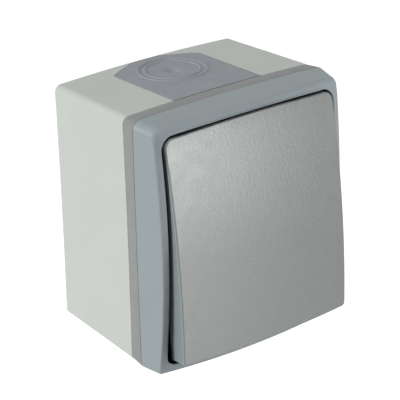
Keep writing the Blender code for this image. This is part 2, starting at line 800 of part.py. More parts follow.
def make_mechanism_base():
    bm = bmesh.new()
    add_block(bm, span(0, BASE_WIDTH), (BASE_BACK, BASE_FRONT), span(0, BASE_HEIGHT))
    base = mesh_object("mechanism_base", bm, MECHANISM_WHITE)
    flange = bmesh.new()
    flange_size = (BASE_WIDTH + 2 * FLANGE_MARGIN, BASE_HEIGHT + 2 * FLANGE_MARGIN)
    flange_depth = (BASE_FRONT - FLANGE_THICKNESS, BASE_FRONT)
    add_block(flange, span(0, flange_size[0]), flange_depth, span(0, flange_size[1]))
    combine(base, "UNION", flange)
    beyond = BASE_FRONT + BASE_WALL
    strips = (STRIP_BACK - GAP, beyond)
    groove = STRIP_WIDTH / 2 + GAP
    middle = bmesh.new()
    add_block(middle, span(0, POCKET_WIDTH), strips, span(0, POCKET_HEIGHT))
    combine(base, "DIFFERENCE", middle)
    for name, x, side in terminals():
        start = 0 if name == "common_terminal" else side * CONTACT_ARM
        pocket = bmesh.new()
        outer = side * (BASE_HEIGHT / 2 + 2 * FLANGE_MARGIN)
        inner = side * (TERMINAL_Z - CLAMP_LENGTH / 2 - GAP)
        add_block(pocket, span(x, TERMINAL_POCKET), (CLAMP_BACK - GAP, beyond), sorted((inner, outer)))
        combine(base, "DIFFERENCE", pocket)
        run = bmesh.new()
        ends = sorted((0, x + math.copysign(groove, x)))
        add_block(run, ends, strips, (start - groove, start + groove))
        combine(base, "DIFFERENCE", run)
        leg = bmesh.new()
        leg_z = sorted((start - side * groove, inner + side * GAP))
        add_block(leg, (x - groove, x + groove), strips, leg_z)
        combine(base, "DIFFERENCE", leg)


def make_mechanism_cover():
    """The cap over the lever, open where the sleeve swings."""
    bm = bmesh.new()
    add_block(bm, span(0, COVER_WIDTH), (COVER_BACK, COVER_FRONT), span(0, COVER_HEIGHT))
    cover = mesh_object("mechanism_cover", bm, MECHANISM_GREY)
    hollow = bmesh.new()
    inside = (COVER_WIDTH - 2 * COVER_WALL, COVER_HEIGHT - 2 * COVER_WALL)
    hollow_depth = (COVER_BACK - COVER_WALL, COVER_FRONT - COVER_SKIN)
    add_block(hollow, span(0, inside[0]), hollow_depth, span(0, inside[1]))
    combine(cover, "DIFFERENCE", hollow)
    opening = bmesh.new()
    swing = (ROCKER_PIVOT - COVER_BACK) * math.sin(ROCKER_TILT)
    opening_x = 2 * (SLEEVE_RADIUS + SWING_CLEARANCE)
    opening_z = 2 * (SLEEVE_RADIUS + swing + SWING_CLEARANCE)
    beyond = (COVER_BACK - COVER_WALL, COVER_FRONT + COVER_WALL)
    add_block(opening, span(0, opening_x), beyond, span(0, opening_z))
    combine(cover, "DIFFERENCE", opening)


def make_terminal(name, x, side):
    """A brass strip bent in plan from its clamp to its contact or its cradle."""
    bm = bmesh.new()
    half = STRIP_WIDTH / 2
    common = name == "common_terminal"
    start = 0 if common else side * CONTACT_ARM
    reach = CRADLE_INNER + EAR_THICKNESS if common else half
    away = math.copysign(1, x)
    corners = [
        (-away * reach, start - side * half),
        (x + away * half, start - side * half),
        (x + away * half, side * strip_tip()),
        (x - away * half, side * strip_tip()),
        (x - away * half, start + side * half),
        (-away * reach, start + side * half),
    ]
    add_sheet(bm, corners, STRIP_BACK, STRIP_FRONT)
    strip = mesh_object(name, bm, BRASS)
    if not common:
        hole = bmesh.new()
        through = (STRIP_BACK - STRIP_THICKNESS, STRIP_FRONT + STRIP_THICKNESS)
        add_rod(hole, facing_front(0, start), RIVET_SHANK + GAP, *through)
        combine(strip, "DIFFERENCE", hole)
        return
    ears = bmesh.new()
    for ear in (1, -1):
        ear_x = sorted((ear * CRADLE_INNER, ear * (CRADLE_INNER + EAR_THICKNESS)))
        ear_z = span(0, min(EAR_HEIGHT, STRIP_WIDTH))
        add_block(ears, ear_x, (STRIP_FRONT - STRIP_THICKNESS / 2, LEVER_PIVOT + EAR_REACH), ear_z)
    combine(strip, "UNION", ears)
    notch = bmesh.new()
    across = CRADLE_INNER + 2 * EAR_THICKNESS
    seat = TRUNNION_RADIUS + GAP
    add_rod(notch, along_x(LEVER_PIVOT, 0), seat, -across, across)
    combine(strip, "DIFFERENCE", notch)
    mouth = bmesh.new()
    add_block(mouth, (-across, across), (LEVER_PIVOT, LEVER_PIVOT + 2 * EAR_REACH), (-seat, seat))
    combine(strip, "DIFFERENCE", mouth)


def make_terminal_clamp(name, x, side):
    """The steel cage that draws the wire up against its strip."""
    bm = bmesh.new()
    z = side * TERMINAL_Z
    add_block(bm, span(x, CLAMP_WIDTH), (CLAMP_BACK, CLAMP_FRONT), span(z, CLAMP_LENGTH))
    clamp = mesh_object(name, bm, STEEL)
    window = bmesh.new()
    window_depth = (CLAMP_BACK + CLAMP_WALL, CLAMP_FRONT - CLAMP_WALL)
    add_block(window, span(x, CLAMP_WIDTH - 2 * CLAMP_WALL), window_depth, span(z, 2 * CLAMP_LENGTH))
    combine(clamp, "DIFFERENCE", window)
    hole = bmesh.new()
    through = (CLAMP_FRONT - 2 * CLAMP_WALL, CLAMP_FRONT + CLAMP_WALL)
    add_rod(hole, facing_front(x, z), CLAMP_SCREW_RADIUS + GAP, *through)
    combine(clamp, "DIFFERENCE", hole)


def make_contact(name, z, parent, head_back, head_front, shank_back, shank_front):
    """A silver contact rivet: a head, and a shank through its strip or lever."""
    bm = bmesh.new()
    if shank_back < head_back:
        profile = [
            (0, shank_back),
            (RIVET_SHANK, shank_back),
            (RIVET_SHANK, head_back),
            (CONTACT_RADIUS, head_back),
            (CONTACT_RADIUS, head_front),
            (0, head_front),
        ]
    else:
        profile = [
            (0, head_back),
            (CONTACT_RADIUS, head_back),
            (CONTACT_RADIUS, head_front),
            (RIVET_SHANK, head_front),
            (RIVET_SHANK, shank_front),
            (0, shank_front),
        ]
    add_turned(bm, profile, place=facing_front(0, z))
    mesh_object(name, bm, CONTACT_SILVER, parent)


def make_terminals():
    for number, (name, x, side) in enumerate(terminals(), start=1):
        make_terminal(name, x, side)
        make_terminal_clamp(f"terminal_clamp_{number}", x, side)
        seat = CLAMP_FRONT + GAP
        length = seat - STRIP_FRONT - GAP
        size = (CLAMP_SCREW_RADIUS, CLAMP_HEAD_RADIUS, CLAMP_HEAD_HEIGHT, length)
        make_screw(f"terminal_screw_{number}", x, side * TERMINAL_Z, seat, *size, slot_angle=40 * number)
    for number, side in ((1, 1), (2, -1)):
        head = (STRIP_FRONT + GAP, STRIP_FRONT + GAP + CONTACT_HEAD)
        make_contact(f"fixed_contact_{number}", side * CONTACT_ARM, None, *head, STRIP_BACK, head[0])


def make_contact_lever():
    """The copper see-saw that joins the common cradle to one fixed contact."""
    axis = axis_empty("contact_lever_axis", LEVER_PIVOT, LEVER_TILT)
    bm = bmesh.new()
    depth = (LEVER_PIVOT - LEVER_THICKNESS / 2, LEVER_FRONT)
    add_block(bm, span(0, LEVER_WIDTH), depth, (-LEVER_HALF_LENGTH, LEVER_HALF_LENGTH))
    lever = mesh_object("contact_lever", bm, COPPER, axis)
    trunnions = bmesh.new()
    tip = CRADLE_INNER + EAR_THICKNESS + GAP
    for side in (1, -1):
        ends = sorted((side * (LEVER_WIDTH / 2 - TRUNNION_ROOT), side * tip))
        add_rod(trunnions, along_x(LEVER_PIVOT, 0), TRUNNION_RADIUS, *ends)
    combine(lever, "UNION", trunnions)
    holes = bmesh.new()
    for side in (1, -1):
        through = (depth[0] - LEVER_THICKNESS, depth[1] + LEVER_THICKNESS)
        add_rod(holes, facing_front(0, side * CONTACT_ARM), RIVET_SHANK + GAP, *through)
    combine(lever, "DIFFERENCE", holes)
    head = (depth[0] - GAP - CONTACT_HEAD, depth[0] - GAP)
    for number, side in ((1, 1), (2, -1)):
        make_contact(f"moving_contact_{number}", side * CONTACT_ARM, axis, *head, head[1], depth[1])


rocker_ceiling = rocker_crown(ROCKER_RIM - ROCKER_SKIN)
PAD_DEPTH = rocker_ceiling(CARRIER_WIDTH / 2, CARRIER_HEIGHT / 2) - GAP
PAD_FRONT = rocker_ceiling(0, 0) + GAP
CARRIER_FRONT = PAD_DEPTH - GAP
CARRIER_BACK = CARRIER_FRONT - CARRIER_PLATE
SLEEVE_BACK = ROCKER_PIVOT - SLEEVE_END
PLUNGER_BACK = LEVER_FRONT + TIP_CLEARANCE
PLUNGER_FRONT = PLUNGER_BACK + PLUNGER_LENGTH
BORE_FRONT = PLUNGER_FRONT + GAP + SPRING_LENGTH + GAP


def make_rocker(axis):
    """The cap that the hand presses: a crowned face and a skirt round it."""
    bm = bmesh.new()
    face = rocker_crown(ROCKER_RIM)
    shoulder = rocker_crown(ROCKER_RIM - ROCKER_EDGE / 3)
    skirt_top = rocker_crown(ROCKER_RIM - ROCKER_EDGE)
    inside = SKIRT.inset(ROCKER_WALL)
    loops = [loop(FACE.scaled(factor), face) for factor in reversed(FACE_RINGS)]
    loops += [
        loop(FACE, face),
        loop(SKIRT.inset(ROCKER_EDGE / 3), shoulder),
        loop(SKIRT, skirt_top),
        loop(SKIRT, flat(SKIRT_BOTTOM)),
        loop(inside, flat(SKIRT_BOTTOM)),
        loop(inside, rocker_ceiling),
    ]
    loops += [loop(inside.scaled(factor), rocker_ceiling) for factor in FACE_RINGS[1:]]
    add_loft(bm, loops)
    rocker = mesh_object("rocker", bm, SILVER, axis)
    pad = bmesh.new()
    add_block(pad, span(0, CARRIER_WIDTH), (PAD_DEPTH, PAD_FRONT), span(0, CARRIER_HEIGHT))
    combine(rocker, "UNION", pad)
    rails = bmesh.new()
    for side in (1, -1):
        inner = CARRIER_HEIGHT / 2 + GAP
        rail_z = sorted((side * inner, side * (inner + CARRIER_RAIL)))
        add_block(rails, span(0, CARRIER_WIDTH), (CARRIER_BACK, PAD_FRONT), rail_z)
    combine(rocker, "UNION", rails)


def make_rocker_carrier(axis):
    """The hinged plate behind the cap, with its pins and the plunger's sleeve."""
    bm = bmesh.new()
    add_block(bm, span(0, CARRIER_WIDTH), (CARRIER_BACK, CARRIER_FRONT), span(0, CARRIER_HEIGHT))
    carrier = mesh_object("rocker_carrier", bm, CARRIER_GREY, axis)
    arms = bmesh.new()
    for side in (1, -1):
        outer = side * CARRIER_WIDTH / 2
        arm_x = sorted((outer - side * ARM_THICKNESS, outer))
        arm_depth = (ROCKER_PIVOT - ARM_HEIGHT / 3, CARRIER_FRONT - CARRIER_PLATE / 2)
        add_block(arms, arm_x, arm_depth, span(0, ARM_HEIGHT))
    combine(carrier, "UNION", arms)
    pins = bmesh.new()
    for side in (1, -1):
        start = side * (CARRIER_WIDTH / 2 - ARM_THICKNESS / 2)
        tip = side * (CARRIER_WIDTH / 2 + GAP + LUG_THICKNESS + GAP)
        add_rod(pins, along_x(ROCKER_PIVOT, 0), PIN_RADIUS, *sorted((start, tip)))
    combine(carrier, "UNION", pins)
    sleeve = bmesh.new()
    top = CARRIER_FRONT - CARRIER_PLATE / 2
    add_rod(sleeve, facing_front(0, 0), SLEEVE_RADIUS, SLEEVE_BACK, top)
    combine(carrier, "UNION", sleeve)
    bore = bmesh.new()
    bore_span = (SLEEVE_BACK - GAP, BORE_FRONT)
    add_rod(bore, facing_front(0, 0), PLUNGER_RADIUS + GAP, *bore_span)
    combine(carrier, "DIFFERENCE", bore)


def make_plunger(axis):
    bm = bmesh.new()
    shoulder = PLUNGER_BACK + 2 * PLUNGER_TIP
    steps = 4
    profile = []
    for step in range(steps + 1):
        angle = math.radians(90) * step / steps
        radius = PLUNGER_TIP * math.sin(angle)
        profile.append((radius, PLUNGER_BACK + PLUNGER_TIP * (1 - math.cos(angle))))
    profile += [
        (PLUNGER_TIP, shoulder),
        (PLUNGER_RADIUS, shoulder + PLUNGER_RADIUS - PLUNGER_TIP),
        (PLUNGER_RADIUS, PLUNGER_FRONT),
        (0, PLUNGER_FRONT),
    ]
    add_turned(bm, profile, place=facing_front(0, 0))
    mesh_object("plunger", bm, MECHANISM_GREY, axis)


def make_plunger_spring(axis):
    """A helix of round wire between the plunger and the end of its bore."""
    coil = PLUNGER_RADIUS - SPRING_WIRE
    start = PLUNGER_FRONT + GAP + SPRING_WIRE
    pitch = (SPRING_LENGTH - 2 * SPRING_WIRE) / SPRING_TURNS
    curve = bpy.data.curves.new("plunger_spring", "CURVE")
    curve.dimensions = "3D"
    curve.bevel_depth = SPRING_WIRE
    curve.bevel_resolution = 1
    curve.use_fill_caps = True
    spline = curve.splines.new("POLY")
    count = SPRING_TURNS * SPRING_POINTS_PER_TURN
    spline.points.add(count)
    for i in range(count + 1):
        turns = i / SPRING_POINTS_PER_TURN
        angle = 2 * math.pi * turns
        depth = start + pitch * turns - ROCKER_PIVOT
        spline.points[i].co = (coil * math.cos(angle), -depth, coil * math.sin(angle), 1)
    made = bpy.data.objects.new("plunger_spring", curve)
    curve.materials.append(material("plunger_spring", STEEL))
    bpy.context.scene.collection.objects.link(made)
    made.parent = axis


def clear_scene():
    for obj in list(bpy.data.objects):
        bpy.data.objects.remove(obj, do_unlink=True)


def main():
    clear_scene()
    make_back_box()
    make_entry_membrane("top_entry_membrane", 1)
    make_entry_membrane("bottom_entry_membrane", -1)
    for side, (x, z) in zip(("left", "right"), fixing_places()):
        make_fixing_grommet(f"fixing_grommet_{side}", x, z)
    make_box_gasket()
    make_front_frame()
    make_housing_screws()
    make_rocker_seal()
    make_mounting_plate()
    make_mechanism_base()
    make_mechanism_cover()
    make_terminals()
    make_contact_lever()
    rocker_axis = axis_empty("rocker_axis", ROCKER_PIVOT, -ROCKER_TILT)
    make_rocker(rocker_axis)
    make_rocker_carrier(rocker_axis)
    make_plunger(rocker_axis)
    make_plunger_spring(rocker_axis)


main()
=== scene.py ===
"""The looks of a surface mounted light switch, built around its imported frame.

The origin is the centre of the wall face, +Z is up and the front looks along -Y. Every
length is in metres. A depth is a distance from the wall, so depth d lies at y = -d.
"""

import json
import math
from dataclasses import dataclass, replace

import bmesh
import bpy
from mathutils import Matrix, Vector


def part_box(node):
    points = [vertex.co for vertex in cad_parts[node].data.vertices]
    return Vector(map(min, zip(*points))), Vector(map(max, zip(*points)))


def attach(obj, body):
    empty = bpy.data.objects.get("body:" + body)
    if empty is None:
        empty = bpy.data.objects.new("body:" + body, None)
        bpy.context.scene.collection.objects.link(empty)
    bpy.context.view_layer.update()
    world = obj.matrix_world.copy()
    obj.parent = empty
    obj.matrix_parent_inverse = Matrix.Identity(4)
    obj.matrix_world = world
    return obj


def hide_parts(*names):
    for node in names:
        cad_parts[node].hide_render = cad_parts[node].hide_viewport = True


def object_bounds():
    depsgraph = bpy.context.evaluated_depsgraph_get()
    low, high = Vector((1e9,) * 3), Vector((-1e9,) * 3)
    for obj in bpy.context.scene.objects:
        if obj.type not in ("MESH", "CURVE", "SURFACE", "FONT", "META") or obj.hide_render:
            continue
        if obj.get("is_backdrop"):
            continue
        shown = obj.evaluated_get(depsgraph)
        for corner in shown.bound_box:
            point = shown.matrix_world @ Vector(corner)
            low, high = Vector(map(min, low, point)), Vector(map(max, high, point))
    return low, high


# The clearance between neighbouring pieces
GAP = 0.0003

# The housing
END_BOW = 0.0008
SIDE_BOW = 0.00015
TOP_CORNER = 0.0026
BOTTOM_CORNER = 0.0017
BOX_STEP = 0.00055
BOX_WAIST = 0.00025
BOX_TAPER_WIDTH = 0.0013
BOX_TAPER_HEIGHT = 0.0010
BOX_WALL = 0.0021
BACK_WALL = 0.0025
BACK_EDGE = 0.0005
RIM_EDGE = 0.00012
TONGUE_STEP = 0.0014
BOSS_RADIUS = 0.00375
SCREW_HOLE = 0.0018
BOSS_HOLE_DEPTH = 0.0140
FIXING_RADIUS = 0.0030

# The cable entries
ENTRY_WIDTH = 0.0320
ENTRY_OFFSET = -0.0005
ENTRY_BACK = 0.0007
ENTRY_BACK_FLAT = 0.0100
ENTRY_CHAMFER = 0.0056
ENTRY_FINE_PART = 1.4 * ENTRY_CHAMFER
ENTRY_CENTRE = 0.0146
ENTRY_SHOULDER = 0.0030
ENTRY_EDGE = 0.00030
ENTRY_JOINT = 0.00011
ENTRY_THICKNESS = 0.0022
RING_RADII = (0.00835, 0.01035)
RING_HALF_WIDTH = 0.00032
RING_HEIGHT = 0.00038
RING_SINK = RING_HEIGHT / 4
DIMPLE_RADIUS = 0.0020
DIMPLE_DEPTH = 0.0010

# The gasket and the frame
GASKET_EDGE = 0.00030
GASKET_CHAMFER = GASKET_EDGE / 3
JOINT_LINE = 0.00003
FRAME_SIDE_DEPTH = 0.00715
FRAME_SIDE_LEAN = 0.00115
FRAME_END_LEAN = 0.0004
FRAME_WAIST = 0.00045
CREASE_BOW = 0.0003
CREASE_TOP_DROP = 0.0003
CREASE_BOTTOM_CORNER = 0.0008
CREASE_EDGE = 0.0006
CREASE_EDGE_TOP = 0.0019
BORDER_SIDE = 0.00195
BORDER_END = 0.00295
BORDER_RISE = 0.0008
CREASE_RISE = BORDER_RISE / 4
CREASE_RISE_TOP = BORDER_RISE / 2
CROWN_VERTICAL = 0.0025
CROWN_ACROSS = 0.0026

# The frame's opening and well
OPENING_EDGE = 0.0003
OPENING_BOW = 0.0011
OPENING_WAIST = 0.00035
OPENING_TOP_LIFT = 0.0002
OPENING_TOP_DROP = 0.0003
OPENING_RIGHT_INSET = 0.0008
OPENING_TOP_CORNER = 0.0040
OPENING_BOTTOM_CORNER = 0.0026
# The extra depth at the right to which the well's wall keeps the frame's colour before its painted
# shade begins
WELL_RIM = 0.0026
WELL_DRAFT = 0.0002
WINDOW_RADIUS = 0.0120
FLOOR_THICKNESS = 0.0017
PIN_HOLE = 0.00165
LUG_HEIGHT = 0.0070
LUG_THICKNESS = 0.0030
LUG_OVER_PIN = 0.0023

# Low down its sides, the opening's edge is softer and lies further in
LOW_EDGE = 0.0013
LOW_INSET = 0.0007
LOW_RISE = BORDER_RISE / 3

# Where a change round the opening starts and where it is complete: outwards and to the right
# in shares of its half width, downwards as heights, and above the corners as a distance
LOW_RAMP_OUT = (0.90, 0.95)
LOW_RAMP_DOWN = (0.006, -0.024)
LOW_RAMP_CORNER = (0, 0.005)
WELL_RAMP_RIGHT = (0.8, 0.9)

# The rocker's cap
ROCKER_SIDE_GAP = 0.00115
ROCKER_END_GAP = 0.00135
ROCKER_STANDOFF = 0.0058
ROCKER_TOP_DROP = 0.0003
ROCKER_TOP_CORNER = 0.0030
ROCKER_BOTTOM_CORNER = 0.0013
ROCKER_CROWN_VERTICAL = 0.0018
ROCKER_CROWN_ACROSS = 0.0002
ROCKER_EDGE = 0.00050
ROCKER_WALL = 0.0016
ROCKER_SKIN = 0.0020
CEILING_SHARES = (0.2, 0.5, 0.8, 1.0)
FACE_RIM_SHARE = 0.99
SKIRT_DRAFT = 0.0011
SKIRT_FLARE = 0.0004
# The height of the skirt's foot, a band painted near black as shade where it sits deep in the gap
SKIRT_FOOT = 0.0018
SKIRT_FOOT_SHARE = 0.8
SKIRT_CLEARANCE = 0.0009
CARRIER_HEIGHT = 0.0240
CARRIER_PLATE = 0.0018
CARRIER_RAIL = 0.0015

# The camera, from the fit to the photograph
CAMERA_PLACE = Vector((-0.327287, -0.460885, 0.238563))
CAMERA_AZIMUTH_DEG = -36.968
CAMERA_ELEVATION_DEG = 23.687
CAMERA_ROLL_DEG = -1.392
CAMERA_LENS_MM = 177.487
SENSOR_WIDTH_MM = 36
CAMERA_CLIP_START = 0.01

# The studio
FLOOR_DROP = 0.30
FLOOR_RADIUS = 3.0
FLOOR_COLOUR = (0.8, 0.8, 0.8, 1)
FLOOR_GLOW = 0.92
WORLD_LIGHT = 0.076
WHITE = (1, 1, 1, 1)
MIDDLE = Vector((0, -0.03, 0))

# Smoothness of the shapes. Edges that turn by more than the angle stay sharp.
CORNER_STEPS = 10
SIDE_STEPS = 28
EDGE_STEPS = 8
FACE_STEPS = 14
ENTRY_COLUMNS = 84
ENTRY_ROWS = 92
ENTRY_CUT_ROWS = 40
RING_STEPS = 96
RING_PROFILE_STEPS = 6
ROUND_SEGMENTS = 48
FLOOR_SEGMENTS = 96
CRISP_ANGLE_DEG = 32
SOFT_ANGLE_DEG = 50

# The steps of the rocker's edge at which its painted highlight line and its painted shade line end
PAINTED_HIGHLIGHT_END = 5
PAINTED_SHADE_LINE_END = 7

FRAME_SCREWS = ("frame_screw_left", "frame_screw_right")
PLATE_SCREWS = ("plate_screw_left", "plate_screw_right")
GROMMETS = ("fixing_grommet_left", "fixing_grommet_right")

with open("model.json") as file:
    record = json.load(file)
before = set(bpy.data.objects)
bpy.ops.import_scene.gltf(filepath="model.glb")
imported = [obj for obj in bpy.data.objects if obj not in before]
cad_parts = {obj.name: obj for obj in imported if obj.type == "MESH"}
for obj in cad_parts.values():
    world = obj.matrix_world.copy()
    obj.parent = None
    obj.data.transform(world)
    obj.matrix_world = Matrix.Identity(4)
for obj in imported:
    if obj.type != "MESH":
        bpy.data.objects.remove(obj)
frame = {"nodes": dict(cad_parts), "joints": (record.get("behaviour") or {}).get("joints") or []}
cad_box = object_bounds()
rocker_tilt = next(item for item in frame["joints"] if item["name"] == "rocker_tilt")

# Places that the frame gives
BODY_HALF_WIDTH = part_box("box_gasket")[1].x - SIDE_BOW
BODY_HALF_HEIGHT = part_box("box_gasket")[1].z - END_BOW
BOX_DEPTH = -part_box("box_gasket")[1].y
FRAME_REAR = -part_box("box_gasket")[0].y + GAP
TONGUE_FRONT = -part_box("back_box")[0].y
FLOOR_BACK = TONGUE_FRONT + GAP
FLOOR_FRONT = FLOOR_BACK + FLOOR_THICKNESS
ROCKER_PIVOT = -rocker_tilt["pos_m"][1]
ROCKER_TILT = math.radians(rocker_tilt["range_deg"][1] / 2)
ROCKER_RIM = ROCKER_PIVOT + ROCKER_STANDOFF
CREASE_DEPTH = FRAME_REAR + FRAME_SIDE_DEPTH
CARRIER_HALF_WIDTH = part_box("rocker_carrier")[1].x - LUG_THICKNESS - 2 * GAP


def linear(*srgb):
    """An sRGB colour of 0 to 255 as the linear values that a shader takes."""
    scaled = [value / 255 for value in srgb]
    return [c / 12.92 if c <= 0.04045 else ((c + 0.055) / 1.055) ** 2.4 for c in scaled] + [1.0]


# Outlines


@dataclass(frozen=True)
class Outline:
    """A rounded rectangle in X and Z, whose ends and sides bow outwards by the given amounts.

    The top can sit higher by top_lift, its two corners lower again by top_drop, and the right
    side closer to the middle by right_inset.
    """

    half_width: float
    half_height: float
    top_radius: float
    bottom_radius: float
    bow: float = END_BOW
    side_bow: float = 0
    top_lift: float = 0
    top_drop: float = 0
    right_inset: float = 0

    def inset(self, by, by_height=None):
        """The same outline further in, by another amount in its height if that is given."""
        return replace(
            self,
            half_width=self.half_width - by,
            half_height=self.half_height - (by if by_height is None else by_height),
            top_radius=max(self.top_radius - by, RIM_EDGE),
            bottom_radius=max(self.bottom_radius - by, RIM_EDGE),
        )

    def scaled(self, factor):
        return Outline(*(factor * value for value in vars(self).values()))

    def bowed(self, x, z):
        """Where a point of the plain rounded rectangle lies on the bowed one."""
        side = x / self.half_width
        end = z / self.half_height
        out = self.side_bow * (1 - end**2) * side - self.right_inset * max(side, 0)
        up = self.bow * (1 - side**2)
        if z > 0:
            up += self.top_lift - self.top_drop * side**2
        return x + out, z + up * end

    def points(self):
        """The outline's points, anticlockwise as seen from the front."""
        arcs = []
        for quarter, (side_x, side_z) in enumerate(((1, 1), (-1, 1), (-1, -1), (1, -1))):
            radius = self.top_radius if side_z > 0 else self.bottom_radius
            centre_x = side_x * (self.half_width - radius)
            centre_z = side_z * (self.half_height - radius)
            for step in range(CORNER_STEPS + 1):
                angle = math.radians(90) * (quarter + step / CORNER_STEPS)
                turn = Vector((math.cos(angle), math.sin(angle)))
                arcs.append(Vector((centre_x, centre_z)) + radius * turn)
        points = []
        for index, start in enumerate(arcs):
            points.append(start)
            if index % (CORNER_STEPS + 1) == CORNER_STEPS:
                end = arcs[(index + 1) % len(arcs)]
                points += [start.lerp(end, step / SIDE_STEPS) for step in range(1, SIDE_STEPS)]
        return [self.bowed(x, z) for x, z in points]


BODY = Outline(BODY_HALF_WIDTH, BODY_HALF_HEIGHT, TOP_CORNER, BOTTOM_CORNER, side_bow=SIDE_BOW)
RIM = replace(BODY.inset(BOX_STEP), side_bow=-BOX_WAIST)
BACK = replace(
    RIM,
    half_width=RIM.half_width - BOX_TAPER_WIDTH,
    half_height=RIM.half_height - BOX_TAPER_HEIGHT,
)
TONGUE = RIM.inset(TONGUE_STEP)
CREASE = replace(
    BODY,
    half_width=BODY.half_width - FRAME_SIDE_LEAN,
    half_height=BODY.half_height - FRAME_END_LEAN,
    bottom_radius=CREASE_BOTTOM_CORNER,
    bow=CREASE_BOW,
    side_bow=-FRAME_WAIST,
    top_drop=CREASE_TOP_DROP,
)
OPENING = Outline(
    CREASE.half_width - BORDER_SIDE,
    CREASE.half_height - BORDER_END,
    OPENING_TOP_CORNER,
    OPENING_BOTTOM_CORNER,
    OPENING_BOW,
    -OPENING_WAIST,
    OPENING_TOP_LIFT,
    OPENING_TOP_DROP,
    OPENING_RIGHT_INSET,
)
SKIRT = replace(
    OPENING.inset(ROCKER_SIDE_GAP, ROCKER_END_GAP),
    side_bow=0,
    top_lift=-ROCKER_TOP_DROP,
    top_drop=-ROCKER_TOP_DROP,
    right_inset=0,
    top_radius=ROCKER_TOP_CORNER,
    bottom_radius=ROCKER_BOTTOM_CORNER,
)
FACE = SKIRT.inset(ROCKER_EDGE)


def ramp(value, start, end):
    """0 at the start and before it, 1 at the end and after it, and straight in between."""
    return min(max((value - start) / (end - start), 0), 1)


def bulge(outline, vertical, across, depth):
    """A front that is highest in its middle and lies at the given depth in its corners."""

    def at(x, z):
        up = vertical * (1 - (z / outline.half_height) ** 2)
        return depth + up + across * (1 - (x / outline.half_width) ** 2)

    return at


def frame_crown(depth):
    return bulge(CREASE, CROWN_VERTICAL, CROWN_ACROSS, depth)


def rocker_crown(depth):
    return bulge(FACE, ROCKER_CROWN_VERTICAL, ROCKER_CROWN_ACROSS, depth)


def flat(depth):
    return lambda x, z: depth


def loop(outline, depth):
    return [Vector((x, -depth(x, z), z)) for x, z in outline.points()]


def mix_loops(first, second, share):
    """A loop between two others, where share(point) says how much of the second it takes."""
    return [a.lerp(b, share(a)) for a, b in zip(first, second)]


def edge_loops(outline, crown, depth, radius, rising=True):
    """The loops of a quarter round from a side to a front, or back down from a front to a side."""
    loops = []
    for step in range(EDGE_STEPS + 1):
        turn = math.radians(90) * (step if rising else EDGE_STEPS - step) / EDGE_STEPS
        inset = radius * (1 - math.cos(turn))
        sink = radius * (1 - math.sin(turn))
        loops.append(loop(outline.inset(inset if rising else -inset), crown(depth - sink)))
    return loops


# Meshes


def add_loft(bm, bands, closed=False):
    """Joins (loop, material) pairs. A band of faces takes the material of its second loop.

    The last loop is joined to the first if the loft is closed, and else both are filled.
    """
    rings = [[bm.verts.new(point) for point in points] for points, _ in bands]
    count = len(rings[0])
    pairs = list(zip(rings, rings[1:], bands[1:]))
    if closed:
        pairs.append((rings[-1], rings[0], bands[0]))
    for ring, following, (_, slot) in pairs:
        for i in range(count):
            j = (i + 1) % count
            face = bm.faces.new((ring[i], ring[j], following[j], following[i]))
            face.material_index = slot
    if not closed:
        for ring, slot in ((rings[0], bands[0][1]), (rings[-1], bands[-1][1])):
            bm.faces.new(ring).material_index = slot


def in_one(loops, slot=0):
    return [(points, slot) for points in loops]


def add_rod(bm, place, radius, start, end, slot=0):
    """A round rod along the local Z axis of place, between two heights."""
    rings = []
    for height in (start, end):
        ring = []
        for i in range(ROUND_SEGMENTS):
            angle = 2 * math.pi * i / ROUND_SEGMENTS
            point = Vector((radius * math.cos(angle), radius * math.sin(angle), height))
            ring.append(place @ point)
        rings.append(ring)
    add_loft(bm, in_one(rings, slot))


def facing_front(x, z):
    """A place at (x, z) on the wall face whose local Z runs out to the front."""
    return Matrix.Translation((x, 0, z)) @ Matrix.Rotation(math.radians(90), 4, "X")


def add_block(bm, x, depth, z):
    """A block between the two values of x, of depth and of z."""
    low = Vector((min(x), -max(depth), min(z)))
    high = Vector((max(x), -min(depth), max(z)))
    place = Matrix.Translation((low + high) / 2) @ Matrix.Diagonal((*(high - low), 1))
    bmesh.ops.create_cube(bm, size=1, matrix=place)


def new_object(name, bm, materials):
    bmesh.ops.recalc_face_normals(bm, faces=bm.faces)
    mesh = bpy.data.meshes.new(name)
    bm.to_mesh(mesh)
    bm.free()
    made = bpy.data.objects.new(name, mesh)
    bpy.context.scene.collection.objects.link(made)
    for material in materials:
        mesh.materials.append(material)
    return made


def combine(target, operation, bm):
    """Cuts or joins an object with the closed shapes of bm, and keeps only the result."""
    tool = new_object("tool", bm, target.data.materials)
    step = target.modifiers.new(operation, "BOOLEAN")
    step.operation = operation
    step.solver = "EXACT"
    step.object = tool
    bpy.context.view_layer.update()
    graph = bpy.context.evaluated_depsgraph_get()
    result = bpy.data.meshes.new_from_object(target.evaluated_get(graph))
    target.modifiers.clear()
    target.data = result
    bpy.data.objects.remove(tool, do_unlink=True)


def finish_piece(made, body, node, angle=CRISP_ANGLE_DEG):
    """Smooths the piece up to an angle, and says where it belongs."""
    made.data.shade_smooth()
    made.data.set_sharp_from_angle(angle=math.radians(angle))
    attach(made, body)
    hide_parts(node)


# Materials


